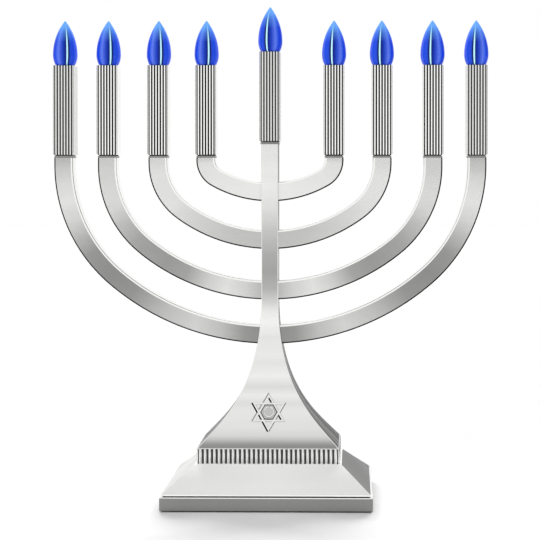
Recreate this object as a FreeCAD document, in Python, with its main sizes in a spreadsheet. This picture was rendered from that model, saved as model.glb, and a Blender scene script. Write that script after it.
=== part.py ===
"""Electric menorah: nine twist-to-light lamps on a plated, moulded candelabrum.

Units are millimetres. +Z is up, the front faces -Y, and the origin is on the floor
under the middle of the base.
"""

import FreeCAD
import Part
import math
import os
import Sketcher

from FreeCAD import Placement, Rotation, Vector

# Driving dimensions. Every key becomes an alias in the spreadsheet "Sizes".
SIZES = {
    # base, from the floor up
    "foot_gap": 0.8,
    "base_width": 127.2,
    "base_depth": 86.4,
    "rim_top": 8.9,
    "rim_bevel": 1.0,
    "rim_wall": 3.0,
    "shell_start": 9.5,
    "shell_top": 24.5,
    "shell_inset": 0.8,
    "shell_slope_inset": 17.7,
    "shell_wall": 2.2,
    "parting_depth": 2.0,
    # reeded band on the base
    "band_width": 87.8,
    "band_depth": 48.2,
    "band_height": 9.9,
    "band_wall": 4.0,
    "band_groove_width": 1.0,
    "band_groove_depth": 0.7,
    "band_pitch": 2.84,
    # column: flared foot and square stem
    "flare_half_width": 43.0,
    "flare_lead_x": 15.74,
    "flare_lead_z": 16.93,
    "flare_pull_z": 68.4,
    "flare_top": 126.7,
    "flare_depth_ratio": 0.49,
    "stem_width": 10.6,
    "stem_depth": 10.8,
    "column_wall": 2.2,
    "column_top": 220.2,
    # star emblem and the button in its middle
    "star_height": 55.1,
    "star_radius": 11.7,
    "star_bar": 1.35,
    "star_relief": 0.9,
    "button_radius": 3.3,
    "button_ring": 0.55,
    "button_proud": 1.0,
    "button_travel": 0.8,
    "button_clearance": 0.08,
    # arms: half width, springing height, drop to the lowest point, upper radius
    "arm_width": 11.4,
    "arm_depth": 10.0,
    "arm_root": 4.6,
    "arm1_reach": 39.9,
    "arm1_spring": 210.3,
    "arm1_drop": 19.7,
    "arm1_radius": 12.4,
    "arm2_reach": 69.8,
    "arm2_spring": 208.8,
    "arm2_drop": 47.9,
    "arm2_radius": 37.1,
    "arm3_reach": 101.4,
    "arm3_spring": 206.6,
    "arm3_drop": 77.2,
    "arm3_radius": 64.1,
    "arm4_reach": 128.7,
    "arm4_spring": 207.2,
    "arm4_drop": 105.3,
    "arm4_radius": 91.6,
    "tenon_radius": 2.5,
    "wire_bore_radius": 1.5,
    "wire_radius": 1.0,
    # reeded square sleeves
    "sleeve_bottom": 211.8,
    "sleeve_width": 12.84,
    "sleeve_length": 57.6,
    "sleeve_chamfer": 0.8,
    "sleeve_bore_radius": 4.6,
    "sleeve_pitch": 1.78,
    "sleeve_groove_width": 0.65,
    "sleeve_groove_depth": 0.55,
    "spigot_length": 6.0,
    # lamps
    "socket_radius": 4.5,
    "socket_length": 15.0,
    "plug_radius": 3.5,
    "plug_length": 12.0,
    "plug_clearance": 0.05,
    "lens_gap": 0.3,
    "lens_base_radius": 5.85,
    "lens_radius": 7.6,
    "lens_belly": 6.6,
    "lens_length": 26.9,
    "lens_tip_radius": 0.5,
    "lens_room": 12.0,
    "lens_bore_radius": 4.4,
    # battery bay, door and electrics in the base
    "plate_bottom": 3.1,
    "plate_thickness": 1.6,
    "bay_half_width": 28.5,
    "bay_half_depth": 22.4,
    "bay_roof": 19.4,
    "tray_wall": 1.4,
    "door_half_width": 32.0,
    "door_front": -26.0,
    "door_bottom": 1.6,
    "door_thickness": 1.4,
    "rail_width": 2.8,
    "rail_gap": 0.2,
    "inlet_x": 46.0,
    "inlet_z": 5.2,
}

ARM_NUMBERS = (1, 2, 3, 4)
SIDES = {"right": 1, "left": -1}
LAMPS = [f"{side}_{number}" for side in SIDES for number in ARM_NUMBERS] + ["centre"]

doc = FreeCAD.newDocument("menorah")
sheet = doc.addObject("Spreadsheet::Sheet", "Sizes")
for row, (alias, value) in enumerate(SIZES.items(), start=1):
    sheet.set(f"A{row}", alias)
    sheet.set(f"B{row}", str(value))
    sheet.setAlias(f"B{row}", alias)
doc.recompute()

nodes = {}


def size(expression):
    """Expression text in which every driving dimension's alias reads the spreadsheet."""
    words = expression.replace("(", " ( ").replace(")", " ) ").split()
    return " ".join(f"Sizes.{word}" if word in SIZES else word for word in words)


def keep(name, feature):
    """Register a finished piece under its node name."""
    feature.Label = name
    nodes[name] = feature
    return feature


def bind(feature, **expressions):
    """Tie properties of a feature to expressions of the driving dimensions."""
    for prop, expression in expressions.items():
        feature.setExpression(prop.replace("__", "."), size(expression))
    return feature


def place(feature, x="0", y="0", z="0"):
    """Put a feature at a place given by expressions."""
    return bind(feature, Placement__Base__x=x, Placement__Base__y=y, Placement__Base__z=z)


# ---------------------------------------------------------------- sketches and bodies

def new_body(name):
    return doc.addObject("PartDesign::Body", name)


def sketch_on(body, role, name, lift=None):
    """Sketch on one of the body's own origin planes, optionally lifted along its normal."""
    plane = [item for item in body.Origin.OriginFeatures if item.Role == role][0]
    sketch = body.newObject("Sketcher::SketchObject", name)
    sketch.AttachmentSupport = [(plane, "")]
    sketch.MapMode = "FlatFace"
    if lift is not None:
        sketch.setExpression("AttachmentOffset.Base.z", size(lift))
    return sketch


def bind_point(sketch, geometry, point, x, y):
    """Fix one point of a sketch at a place given by expressions."""
    spot = sketch.getPoint(geometry, point)
    for kind, value, expression in (("DistanceX", spot.x, x), ("DistanceY", spot.y, y)):
        index = sketch.addConstraint(Sketcher.Constraint(kind, -1, 1, geometry, point, value))
        sketch.setExpression(f"Constraints[{index}]", size(expression))


def bind_radius(sketch, geometry, expression):
    radius = sketch.Geometry[geometry].Radius
    index = sketch.addConstraint(Sketcher.Constraint("Radius", geometry, radius))
    sketch.setExpression(f"Constraints[{index}]", size(expression))


def add_rectangle(sketch, left, bottom, right, top):
    """Rectangle whose edges are placed by expressions."""
    corners = [Vector(0, 0, 0), Vector(1, 0, 0), Vector(1, 1, 0), Vector(0, 1, 0)]
    first = sketch.GeometryCount
    for start, end in zip(corners, corners[1:] + corners[:1]):
        sketch.addGeometry(Part.LineSegment(start, end), False)
    for side in range(4):
        following = first + (side + 1) % 4
        sketch.addConstraint(Sketcher.Constraint("Coincident", first + side, 2, following, 1))
        kind = ("Horizontal", "Vertical")[side % 2]
        sketch.addConstraint(Sketcher.Constraint(kind, first + side))
    bind_point(sketch, first, 1, left, bottom)
    bind_point(sketch, first + 2, 1, right, top)


def add_circle(sketch, radius, x="0", y="0"):
    """Circle whose radius and centre are placed by expressions."""
    index = sketch.addGeometry(Part.Circle(Vector(1, 1, 0), Vector(0, 0, 1), 1.0), False)
    bind_radius(sketch, index, radius)
    bind_point(sketch, index, 3, x, y)


def pad(body, sketch, length, symmetric=False):
    feature = body.newObject("PartDesign::Pad", sketch.Name + "_pad")
    feature.Profile = sketch
    feature.setExpression("Length", size(length))
    feature.Midplane = symmetric
    doc.recompute()
    return feature


def pocket(body, sketch, length=None, upward=False):
    """Pocket through everything, or to a depth; it has to remove material."""
    before = body.Shape.Volume
    feature = body.newObject("PartDesign::Pocket", sketch.Name + "_pocket")
    feature.Profile = sketch
    feature.Reversed = upward
    if length is None:
        feature.Type = "ThroughAll"
        feature.Midplane = True
    else:
        feature.setExpression("Length", size(length))
    doc.recompute()
    if body.Shape.Volume > before - 1e-6:
        raise RuntimeError(f"{feature.Name} removed nothing")
    return feature


def repeat_along(body, feature, sketch, axis, count, pitch):
    """Linear pattern of a pocket, made the body's tip."""
    pattern = body.newObject("PartDesign::LinearPattern", feature.Name + "_row")
    pattern.Originals = [feature]
    pattern.Direction = (sketch, [axis])
    pattern.Mode = "Spacing"
    pattern.Occurrences = count
    pattern.setExpression("Offset", size(pitch))
    body.Tip = pattern
    doc.recompute()
    return pattern


def chamfer_where(body, base, test, amount):
    """Chamfer the edges of a feature whose two ends both pass the test."""
    edges = []
    for number, edge in enumerate(base.Shape.Edges, start=1):
        if all(test(vertex.Point) for vertex in edge.Vertexes):
            edges.append(f"Edge{number}")
    feature = body.newObject("PartDesign::Chamfer", base.Name + "_chamfer")
    feature.Base = (base, edges)
    feature.setExpression("Size", size(amount))
    doc.recompute()
    return feature


# ---------------------------------------------------------------- Part objects

def part_box(name, left, right, front, back, low, high):
    """Box between six planes given as expressions."""
    box = doc.addObject("Part::Box", name)
    bind(box, Length=f"( {right} ) - ( {left} )", Width=f"( {back} ) - ( {front} )",
         Height=f"( {high} ) - ( {low} )")
    return place(box, left, front, low)


def part_cylinder(name, radius, low, high, x="0", y="0"):
    """Upright cylinder between two heights given as expressions."""
    cylinder = doc.addObject("Part::Cylinder", name)
    bind(cylinder, Radius=radius, Height=f"( {high} ) - ( {low} )")
    return place(cylinder, x, y, low)


def part_frustum(name, low, high, half_width, half_depth, top_half_width, top_half_depth):
    """Rectangular frustum standing on +Z, centred on the origin."""
    wedge = doc.addObject("Part::Wedge", name)
    bind(wedge, Ymin=low, Ymax=high, Xmin=f"-( {half_width} )", Xmax=half_width,
         Zmin=f"-( {half_depth} )", Zmax=half_depth, X2min=f"-( {top_half_width} )",
         X2max=top_half_width, Z2min=f"-( {top_half_depth} )", Z2max=top_half_depth)
    wedge.Placement = Placement(Vector(0, 0, 0), Rotation(Vector(1, 0, 0), 90))
    return wedge


def part_cut(name, base, *tools):
    result = doc.addObject("Part::Cut", name)
    result.Base = base
    result.Tool = tools[0] if len(tools) == 1 else part_fuse(name + "_tools", tools)
    return result


def part_fuse(name, shapes):
    result = doc.addObject("Part::MultiFuse", name)
    result.Shapes = list(shapes)
    return result


def part_group(name, shapes):
    """Separate solids kept together in one node."""
    result = doc.addObject("Part::Compound", name)
    result.Links = list(shapes)
    return result


def fixed_shape(name, shape, placement=None):
    """Feature whose shape comes from Part's own functions."""
    feature = doc.addObject("Part::Feature", name)
    feature.Shape = shape
    if placement is not None:
        feature.Placement = placement
    return feature


def mirrored_signs():
    """The four corners as sign pairs with a name for each."""
    return {"front_left": ("-", "-"), "front_right": ("", "-"),
            "rear_left": ("-", ""), "rear_right": ("", "")}


# ---------------------------------------------------------------- column shape

def flare_poles():
    """Cubic curve of the column's flank as (half width, height) poles."""
    bottom = SIZES["shell_top"] + SIZES["band_height"]
    stem = SIZES["stem_width"] / 2
    foot = SIZES["flare_half_width"]
    return ((foot, bottom), (foot - SIZES["flare_lead_x"], bottom + SIZES["flare_lead_z"]),
            (stem, SIZES["flare_pull_z"]), (stem, SIZES["flare_top"]))


def flare_at(height):
    """Half width of the column at a height, and how fast it changes there."""
    low, high = 0.0, 1.0
    poles = flare_poles()
    for _ in range(60):
        t = (low + high) / 2
        weights = ((1 - t) ** 3, 3 * t * (1 - t) ** 2, 3 * t * t * (1 - t), t ** 3)
        z = sum(weight * pole[1] for weight, pole in zip(weights, poles))
        low, high = (t, high) if z < height else (low, t)
    steps = ((1 - t) ** 2, 2 * t * (1 - t), t * t)
    spans = [(b[0] - a[0], b[1] - a[1]) for a, b in zip(poles, poles[1:])]
    rise = [sum(step * span[i] for step, span in zip(steps, spans)) for i in (0, 1)]
    return sum(weight * pole[0] for weight, pole in zip(weights, poles)), rise[0] / rise[1]


def depth_of(half_width):
    """Half depth of the column where it has this half width."""
    side = half_width - SIZES["stem_width"] / 2
    return SIZES["stem_depth"] / 2 + SIZES["flare_depth_ratio"] * side


def flared_prism(across, run, measure, inset):
    """The column's outline seen along one axis, extruded along that axis."""
    top = SIZES["column_top"]
    right = [across * (measure(half) - inset) + Vector(0, 0, z) for half, z in flare_poles()]
    left = [across * -(measure(half) - inset) + Vector(0, 0, z) for half, z in flare_poles()]
    high_right = Vector(right[3].x, right[3].y, top)
    high_left = Vector(left[3].x, left[3].y, top)
    right_flank, left_flank = Part.BezierCurve(), Part.BezierCurve()
    right_flank.setPoles(right)
    left_flank.setPoles(list(reversed(left)))
    outline = Part.Wire([
        right_flank.toShape(), Part.makeLine(right[3], high_right),
        Part.makeLine(high_right, high_left), Part.makeLine(high_left, left[3]),
        left_flank.toShape(), Part.makeLine(left[0], right[0]),
    ])
    reach = 2 * SIZES["flare_half_width"]
    face = Part.Face(outline)
    face.translate(run * -reach)
    return face.extrude(run * (2 * reach))


def column_solid(inset):
    """Four-sided flare and square stem, drawn in by the inset on every side."""
    wide = flared_prism(Vector(1, 0, 0), Vector(0, 1, 0), lambda half: half, inset)
    deep = flared_prism(Vector(0, 1, 0), Vector(1, 0, 0), depth_of, inset)
    return wide.common(deep)


def face_placement():
    """Frame on the column's front face at the star: X right, Y up the face, Z outward."""
    half_width, slope = flare_at(SIZES["star_height"])
    lean = math.degrees(math.atan(-SIZES["flare_depth_ratio"] * slope))
    spot = Vector(0, -depth_of(half_width), SIZES["star_height"])
    return Placement(spot, Rotation(Vector(1, 0, 0), 90 - lean))


# ---------------------------------------------------------------- arm shape

def arm_lower_radius(number):
    """Radius of an arm's lower arc, which meets the upper arc and lies flat at X = 0."""
    reach, drop, upper = (SIZES[f"arm{number}_{key}"] for key in ("reach", "drop", "radius"))
    return (reach ** 2 - 2 * reach * upper + drop ** 2) / (2 * (drop - upper))


def arm_centres(number):
    """Centres of an arm's two arcs and the angle of the ray on which they meet."""
    spring = SIZES[f"arm{number}_spring"]
    upper = Vector(SIZES[f"arm{number}_reach"] - SIZES[f"arm{number}_radius"], spring, 0)
    lower = Vector(0, spring - SIZES[f"arm{number}_drop"] + arm_lower_radius(number), 0)
    return upper, lower, math.atan2(upper.y - lower.y, upper.x - lower.x)


def arc_about(centre, radius, first, last):
    """Counter-clockwise arc in the XY plane between two angles in radians."""
    circle = Part.Circle(centre, Vector(0, 0, 1), radius)
    return Part.ArcOfCircle(circle, first, last)


def arm_path(number, top, inner_x, start_x=None):
    """Centreline of a right arm in the XZ plane, from the top down to X = inner_x."""
    upper, lower, meet = arm_centres(number)
    upper_radius, lower_radius = SIZES[f"arm{number}_radius"], arm_lower_radius(number)
    end = -math.acos(inner_x / lower_radius)
    if start_x is not None:
        edges = [arc_about(lower, lower_radius, end, -math.acos(start_x / lower_radius))]
    else:
        reach = SIZES[f"arm{number}_reach"]
        straight = Part.LineSegment(Vector(reach, top, 0), Vector(reach, upper.y, 0))
        edges = [straight, arc_about(upper, upper_radius, meet, 0),
                 arc_about(lower, lower_radius, end, meet)]
    wire = Part.Wire([edge.toShape() for edge in edges])
    wire.rotate(Vector(0, 0, 0), Vector(1, 0, 0), 90)
    return wire


def tube_along(path, radius):
    """Round bar along a path that starts at its first vertex."""
    start = path.Edges[0]
    if len(path.Edges) == 1:
        at, along = start.valueAt(start.FirstParameter), start.tangentAt(start.FirstParameter)
    else:
        at, along = path.Vertexes[0].Point, Vector(0, 0, 1)
    ring = Part.Wire(Part.makeCircle(radius, at, along))
    return path.makePipeShell([ring], True, False)


def side_turn(side):
    """Placement that leaves right-hand pieces alone and turns left-hand ones about Z."""
    return Placement(Vector(0, 0, 0), Rotation(Vector(0, 0, 1), 0 if SIDES[side] > 0 else 180))


def lamp_place(lamp):
    """Expressions for a sleeve's axis X and its bottom Z."""
    if lamp == "centre":
        return "0", "column_top"
    side, number = lamp.split("_")
    return ("" if SIDES[side] > 0 else "-") + f" arm{number}_reach", "sleeve_bottom"


# ---------------------------------------------------------------- base pieces

def make_base_rim():
    """Upright frame round the foot of the base, with the door notch and the inlet slot."""
    body = new_body("base_rim_body")
    ring = sketch_on(body, "XY_Plane", "rim_outline", lift="foot_gap")
    half = ("base_width / 2", "base_depth / 2")
    add_rectangle(ring, f"- {half[0]}", f"- {half[1]}", *half)
    outer = pad(body, ring, "rim_top - foot_gap")
    edge_x, edge_y, top = SIZES["base_width"] / 2, SIZES["base_depth"] / 2, SIZES["rim_top"]
    chamfer_where(body, outer, lambda p: abs(p.z - top) < 1e-6, "rim_bevel")
    hole = sketch_on(body, "XY_Plane", "rim_inside")
    inner = (f"{half[0]} - rim_wall", f"{half[1]} - rim_wall")
    add_rectangle(hole, f"- ( {inner[0]} )", f"- ( {inner[1]} )", *inner)
    pocket(body, hole)
    notch = part_box("door_notch", "- door_half_width - rail_width - 0.3",
                     "door_half_width + rail_width + 0.3", "base_depth / 2 - rim_wall - 1",
                     "base_depth / 2 + 1", "0", "plate_bottom + 0.1")
    slot = part_box("inlet_slot", "inlet_x - 4.2", "inlet_x + 4.2", "base_depth / 2 - rim_wall - 1",
                    "base_depth / 2 + 1", "inlet_z - 1.65", "inlet_z + 1.65")
    keep("base_rim", part_cut("base_rim", body, notch, slot))


def make_base_shell():
    """Hollow frustum over the base, standing on a short neck that makes the parting line."""
    half_width, half_depth = "base_width / 2 - shell_inset", "base_depth / 2 - shell_inset"
    outer = part_frustum("shell_outer", "shell_start", "shell_top", half_width, half_depth,
                         f"{half_width} - shell_slope_inset", f"{half_depth} - shell_slope_inset")
    neck_x, neck_y = "base_width / 2 - parting_depth", "base_depth / 2 - parting_depth"
    neck = part_box("shell_neck", f"- ( {neck_x} )", neck_x, f"- ( {neck_y} )", neck_y,
                    "rim_top", "shell_start")
    hollow = part_frustum(
        "shell_hollow", "rim_top - 1", "shell_top - shell_wall",
        f"{half_width} - 2 * shell_wall", f"{half_depth} - 2 * shell_wall",
        f"{half_width} - shell_slope_inset - shell_wall",
        f"{half_depth} - shell_slope_inset - shell_wall")
    wire_hole = part_cylinder("shell_wire_hole", "5", "shell_top - 2 * shell_wall", "shell_top + 1")
    shell = part_cut("shell_hollowed", part_fuse("shell_skin", [outer, neck]), hollow, wire_hole)
    posts, holes = [], []
    for corner, (sx, sy) in mirrored_signs().items():
        spot = {"x": f"{sx} 44", "y": f"{sy} 24"}
        posts.append(part_cylinder(f"post_{corner}", "3", "plate_bottom + plate_thickness",
                                   "shell_top - shell_wall + 0.3", **spot))
        holes.append(part_cylinder(f"post_hole_{corner}", "1.3",
                                   "plate_bottom + plate_thickness - 1", "14", **spot))
    solid = part_fuse("shell_with_posts", [shell] + posts)
    keep("base_shell", part_cut("base_shell", solid, *holes))


def make_fluted_band():
    """Reeded frame between the base and the column."""
    body = new_body("fluted_band_body")
    outline = sketch_on(body, "XY_Plane", "band_outline")
    half_x, half_y = "band_width / 2", "band_depth / 2"
    add_rectangle(outline, f"- {half_x}", f"- {half_y}", half_x, half_y)
    pad(body, outline, "band_height")
    inside = sketch_on(body, "XY_Plane", "band_inside")
    inner_x, inner_y = f"{half_x} - band_wall", f"{half_y} - band_wall"
    add_rectangle(inside, f"- ( {inner_x} )", f"- ( {inner_y} )", inner_x, inner_y)
    pocket(body, inside)
    rows = (("band_front", "H_Axis", 31, half_x, half_y), ("band_side", "V_Axis", 17, half_y, half_x))
    for name, axis, count, along, across in rows:
        grooves = sketch_on(body, "XY_Plane", name + "_grooves")
        start = f"- {(count - 1) / 2} * band_pitch - band_groove_width / 2"
        end = f"- {(count - 1) / 2} * band_pitch + band_groove_width / 2"
        deep, past = f"{across} - band_groove_depth", f"{across} + 1"
        if axis == "H_Axis":
            add_rectangle(grooves, start, deep, end, past)
            add_rectangle(grooves, start, f"- ( {past} )", end, f"- ( {deep} )")
        else:
            add_rectangle(grooves, deep, start, past, end)
            add_rectangle(grooves, f"- ( {past} )", start, f"- ( {deep} )", end)
        cut = pocket(body, grooves)
        repeat_along(body, cut, grooves, axis, count, "band_pitch")
    place(body, z="shell_top")
    keep("fluted_band", body)


def make_bottom_plate():
    """Plate that closes the base, with the battery opening and the door's rails."""
    low, high = "plate_bottom", "plate_bottom + plate_thickness"
    plate = part_box("plate_sheet", "-60", "60", "-39.6", "36.6", low, high)
    opening = part_box("plate_opening", "- bay_half_width", "bay_half_width",
                       "- bay_half_depth", "bay_half_depth", f"{low} - 1", f"{high} + 1")
    rails = []
    rail_shapes = (
        ("rail", "door_half_width + rail_gap", "door_half_width + rail_width", f"{low} + 0.2"),
        ("lip", "door_half_width - 1.2", "door_half_width + rail_gap + 0.1", "door_bottom - 0.1"),
    )
    for side, sign in SIDES.items():
        for name, near, away, top in rail_shapes:
            left, right = (near, away) if sign > 0 else (f"- ( {away} )", f"- ( {near} )")
            rails.append(part_box(f"{name}_{side}", left, right, "door_front", "36.6", "0.95", top))
    stop = part_box("door_stop", "- door_half_width - rail_width", "door_half_width + rail_width",
                    "door_front - 2", "door_front - 0.2", "0.95", f"{low} + 0.2")
    ribs = [part_box(f"board_rib_{n}", f"{x}", f"{x} + 2", "-16", "16", f"{high} - 0.2", "8")
            for n, x in enumerate((35, 51))]
    solid = part_fuse("plate_with_rails", [plate, stop] + rails + ribs)
    holes = [part_cylinder(f"plate_hole_{corner}", "1.5", f"{low} - 1", f"{high} + 1",
                           f"{sx} 44", f"{sy} 24")
             for corner, (sx, sy) in mirrored_signs().items()]
    keep("bottom_plate", part_cut("bottom_plate", solid, opening, *holes))


def make_battery_bay():
    """Tray for three cells, its contacts, and the sliding door under it."""
    low = "plate_bottom + plate_thickness"
    outer = part_box("tray_outer", "- bay_half_width - tray_wall", "bay_half_width + tray_wall",
                     "- bay_half_depth - tray_wall", "bay_half_depth + tray_wall",
                     low, "bay_roof + tray_wall")
    inside = part_box("tray_inside", "- bay_half_width", "bay_half_width", "- bay_half_depth",
                      "bay_half_depth", f"{low} - 1", "bay_roof")
    keep("battery_tray", part_cut("battery_tray", outer, inside))
    contacts = []
    for end, sign in SIDES.items():
        for cell in (-1, 0, 1):
            edge = "bay_half_width - 0.4" if sign > 0 else "- bay_half_width"
            contacts.append(part_box(f"contact_{end}_{cell + 2}", edge, f"{edge} + 0.4",
                                     f"{cell * 14.7} - 5", f"{cell * 14.7} + 5", "6.5", "17"))
    keep("battery_contacts", part_group("battery_contacts", contacts))
    body = new_body("battery_door_body")
    outline = sketch_on(body, "XY_Plane", "door_outline", lift="door_bottom")
    add_rectangle(outline, "- door_half_width", "door_front", "door_half_width", "base_depth / 2")
    pad(body, outline, "door_thickness")
    grips = sketch_on(body, "XY_Plane", "door_grips", lift="door_bottom")
    add_rectangle(grips, "-12", "base_depth / 2 - 13", "12", "base_depth / 2 - 12")
    cut = pocket(body, grips, "0.5", upward=True)
    repeat_along(body, cut, grips, "V_Axis", 5, "2")
    keep("battery_door", body)


def make_base_hardware():
    """Circuit board, charging inlet, rubber feet and screws of the base."""
    board = part_box("board_sheet", "33", "55", "-18", "18", "8", "9.6")
    chip = part_box("board_chip", "38", "46", "-4", "4", "9.6", "11.2")
    coil = part_cylinder("board_coil", "3", "9.6", "13", "50", "9")
    keep("circuit_board", part_fuse("circuit_board", [board, chip, coil]))
    back = "base_depth / 2"
    shell = part_box("inlet_can", "inlet_x - 4", "inlet_x + 4", f"{back} - 6.2", f"{back} - 0.2",
                     "inlet_z - 1.45", "inlet_z + 1.45")
    mouth = part_box("inlet_mouth", "inlet_x - 3.6", "inlet_x + 3.6", f"{back} - 5.2",
                     f"{back} + 1", "inlet_z - 1.05", "inlet_z + 1.05")
    tongue = part_box("inlet_tongue", "inlet_x - 2.4", "inlet_x + 2.4", f"{back} - 5.6",
                      f"{back} - 1.2", "inlet_z - 0.3", "inlet_z + 0.3")
    keep("charging_inlet", part_fuse("charging_inlet", [part_cut("inlet_shell", shell, mouth), tongue]))
    feet, screws = [], []
    for corner, (sx, sy) in mirrored_signs().items():
        feet.append(part_cylinder(f"foot_{corner}", "4.5", "0", "plate_bottom", f"{sx} 53", f"{sy} 31"))
        spot = {"x": f"{sx} 44", "y": f"{sy} 24"}
        head = part_cylinder(f"screw_head_{corner}", "2.6", "plate_bottom - 1.4", "plate_bottom", **spot)
        shank = part_cylinder(f"screw_shank_{corner}", "1.2", "plate_bottom - 0.5", "13", **spot)
        cross = part_box(f"screw_cross_{corner}", f"{sx} 44 - 0.3", f"{sx} 44 + 0.3", f"{sy} 24 - 1.6",
                         f"{sy} 24 + 1.6", "plate_bottom - 2", "plate_bottom - 0.8")
        screws.append(part_cut(f"base_screw_{corner}",
                               part_fuse(f"screw_{corner}", [head, shank]), cross))
    keep("rubber_feet", part_group("rubber_feet", feet))
    keep("base_screws", part_group("base_screws", screws))


# ---------------------------------------------------------------- column pieces

def along_y(name, radius, front, back, x, z):
    """Cylinder lying along Y between two planes."""
    cylinder = doc.addObject("Part::Cylinder", name)
    bind(cylinder, Radius=radius, Height=f"( {back} ) - ( {front} )")
    cylinder.Placement = Placement(Vector(0, 0, 0), Rotation(Vector(1, 0, 0), -90))
    return place(cylinder, x, front, z)


def on_face(name, radius, inner, outer, right="0"):
    """Cylinder standing on the sloping front face at the star, between two depths."""
    frame = face_placement()
    cylinder = doc.addObject("Part::Cylinder", name)
    bind(cylinder, Radius=radius, Height=f"( {outer} ) - ( {inner} )")
    local = doc.addObject("Part::Compound", name + "_placed")
    place(cylinder, right, "0", inner)
    local.Links = [cylinder]
    local.Placement = frame
    return local


def make_column():
    """Front and rear half shells of the flared foot and stem."""
    outer = fixed_shape("column_outside", column_solid(0))
    hollow = fixed_shape("column_inside", column_solid(SIZES["column_wall"]))
    skin = part_cut("column_skin", outer, hollow)
    spigot = part_cut("column_spigot",
                      part_cylinder("spigot_bar", "sleeve_bore_radius - 0.1", "column_top - 6",
                                    "column_top + spigot_length"),
                      part_cylinder("spigot_bore", "2.6", "column_top - 7",
                                    "column_top + spigot_length + 1"))
    tenon_holes = []
    for side in SIDES:
        for number in ARM_NUMBERS:
            path = arm_path(number, 0, 1.5, start_x=14)
            hole = tube_along(path, SIZES["tenon_radius"] + 0.05)
            tenon_holes.append(fixed_shape(f"tenon_hole_{side}_{number}", hole, side_turn(side)))
    bosses, drillings = {"front": [], "rear": []}, {"front": [], "rear": []}
    for side, sign in SIDES.items():
        spot = {"x": f"{sign} * 19", "z": "43"}
        bosses["front"].append(along_y(f"front_boss_{side}", "3", "-17.5", "0", **spot))
        bosses["rear"].append(along_y(f"rear_boss_{side}", "4.2", "0", "17.5", **spot))
        drillings["front"].append(along_y(f"front_drill_{side}", "1.3", "-10", "1", **spot))
        drillings["rear"].append(along_y(f"rear_drill_{side}", "1.7", "-1", "30", **spot))
        drillings["rear"].append(along_y(f"rear_recess_{side}", "3.2", "9", "30", **spot))
        bosses["front"].append(on_face(f"switch_post_{side}", "1.4", "-10.3", "-1.2",
                                       right=f"{sign} * 6.2"))
    drillings["front"].append(on_face("button_hole", "button_radius + button_clearance", "-5", "4"))
    whole = part_fuse("column_whole", [skin, spigot])
    far = "200"
    halves = {"front": ("0", far), "rear": (f"-{far}", "0")}
    for half, (near, beyond) in halves.items():
        other = part_box(f"not_{half}", f"-{far}", far, near, beyond, "-10", "400")
        shell = part_fuse(f"column_{half}_bossed",
                          [part_cut(f"column_{half}_half", whole, other)] + bosses[half])
        keep(f"column_{half}_shell",
             part_cut(f"column_{half}_shell", shell, *(tenon_holes + drillings[half])))
    screws = []
    for side, sign in SIDES.items():
        spot = {"x": f"{sign} * 19", "z": "43"}
        screws.append(part_fuse(f"column_screw_{side}", [
            along_y(f"column_head_{side}", "2.8", "9", "10.8", **spot),
            along_y(f"column_shank_{side}", "1.25", "-9", "9.5", **spot)]))
    keep("column_screws", part_group("column_screws", screws))
    return outer


def make_star(column):
    """Star of two triangle frames that follows the column's front face."""
    frames = []
    for turn in (90, 270):
        rings = []
        for name, radius in (("outer", "star_radius"), ("inner", "star_radius - 2 * star_bar")):
            prism = doc.addObject("Part::Prism", f"star_{name}_{turn}")
            prism.Polygon = 3
            bind(prism, Circumradius=radius, Height="4 + star_relief")
            prism.Placement = Placement(Vector(0, 0, -4), Rotation(Vector(0, 0, 1), turn))
            rings.append(prism)
        frames.append(part_cut(f"star_frame_{turn}", *rings))
    star = part_fuse("star_block", frames)
    star.Placement = face_placement()
    keep("star_emblem", part_cut("star_emblem", star, column))


def make_button():
    """Push button in the star, the switch behind it and the switch's board."""
    frame = face_placement()
    body = new_body("power_button_body")
    stem = sketch_on(body, "XY_Plane", "button_stem", lift="-4.2")
    add_circle(stem, "button_radius")
    pad(body, stem, "4.2 + button_proud")
    flange = sketch_on(body, "XY_Plane", "button_flange", lift="-4.2")
    add_circle(flange, "button_radius + 1.2")
    pad(body, flange, "1")
    dish = sketch_on(body, "XY_Plane", "button_dish", lift="button_proud")
    add_circle(dish, "button_radius - button_ring")
    pocket(body, dish, "0.3")
    body.Placement = frame
    keep("power_button", body)
    case = doc.addObject("Part::Box", "switch_case")
    bind(case, Length="6", Width="6", Height="3.5")
    place(case, "-3", "-3", "-10.3")
    plunger = part_cylinder("switch_plunger", "1.6", "-7", "-4.3 - button_travel")
    switch = part_fuse("tact_switch", [case, plunger])
    switch.Placement = frame
    keep("tact_switch", switch)
    sheet_box = part_box("switch_board_sheet", "-8", "8", "-5", "5", "-11.5", "-10.3")
    board = part_group("switch_board", [sheet_box])
    board.Placement = frame
    keep("switch_board", board)


# ---------------------------------------------------------------- arms

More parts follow.
